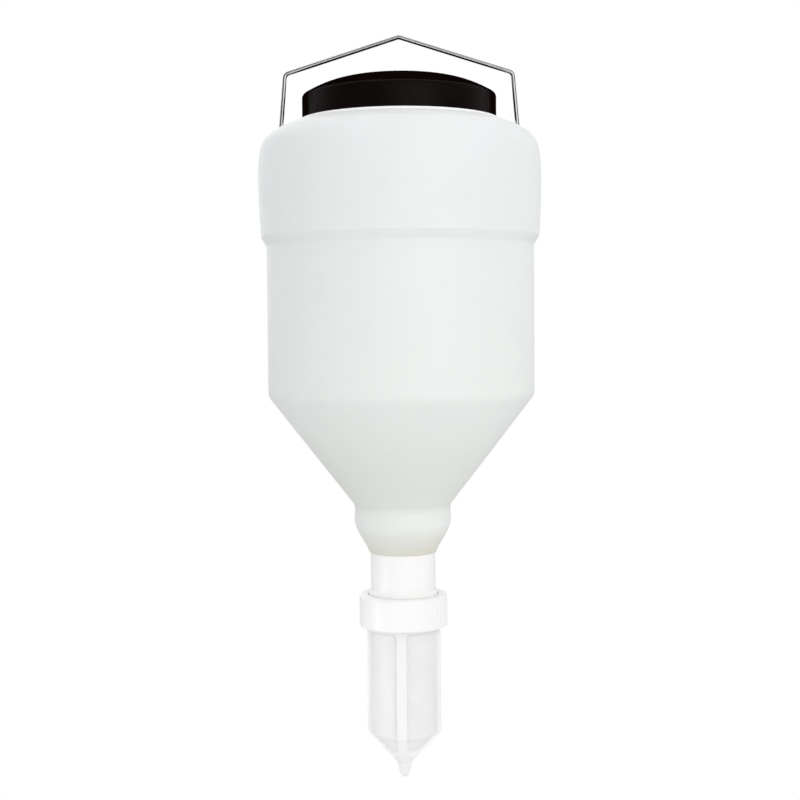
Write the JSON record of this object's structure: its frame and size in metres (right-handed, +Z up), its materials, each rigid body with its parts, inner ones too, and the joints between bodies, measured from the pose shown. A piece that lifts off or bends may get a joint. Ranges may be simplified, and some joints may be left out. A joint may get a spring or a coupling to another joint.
{
  "type": "hanging calf feeding bottle",
  "caption": "Hanging translucent hopper bottle with a dark screw lid, a bent wire handle and a cone-tipped ribbed teat clamped below a white outlet tube by a collar.",
  "frame": {"origin": "underside of the wire handle at its peak, where the hook bears", "axes": "+Z up along the bottle's axis, X along the handle's pivot axis, Y the way the bottle swings"},
  "size_m": [0.1686, 0.1686, 0.4456],
  "materials": {
    "hopper": "natural blow-moulded polythene, slightly translucent",
    "lid": "near-black moulded plastic, smooth",
    "white": "white moulded plastic, smooth",
    "teat": "white silicone, slightly translucent",
    "seal": "grey rubber",
    "wire": "bright plated steel wire",
    "steel": "polished stainless ball"
  },
  "bodies": {
    "handle": {"wire_handle": "wire"},
    "bottle": {"hopper": "hopper", "outlet_adapter": "white", "outlet_seal": "seal", "valve_cage": "white"},
    "lid_seal": {"lid_gasket": "seal"},
    "lid": {"lid": "lid", "vent_valve": "seal"},
    "teat": {"teat": "teat"},
    "collar": {"collar_nut": "white"},
    "ball": {"valve_ball": "steel"}
  },
  "joints": [
    {"name": "bottle_swing", "type": "hinge", "parent": "handle", "child": "bottle", "pos_m": [0, 0, -0.0545], "axis": [1, 0, 0], "range_deg": [-45, 45]},
    {"name": "lid_lift", "type": "slide", "parent": "bottle", "child": "lid_seal", "axis": [0, 0, 1], "range_m": [0, 0.00304]},
    {"name": "lid_turn", "type": "hinge", "parent": "lid_seal", "child": "lid", "pos_m": [0, 0, -0.035], "axis": [0, 0, 1], "range_deg": [0, 288]},
    {"name": "teat_drop", "type": "slide", "parent": "bottle", "child": "teat", "axis": [0, 0, -1], "range_m": [0, 0.0054]},
    {"name": "collar_turn", "type": "hinge", "parent": "teat", "child": "collar", "pos_m": [0, 0, -0.34], "axis": [0, 0, -1], "range_deg": [0, 540]},
    {"name": "ball_lift", "type": "slide", "parent": "bottle", "child": "ball", "axis": [0, 0, 1], "range_m": [0, 0.004]}
  ],
  "couplings": [
    {"joint": "lid_lift", "follows": "lid_turn", "m_per_rad": 0.00060478},
    {"joint": "teat_drop", "follows": "collar_turn", "m_per_rad": 0.00057296}
  ]
}
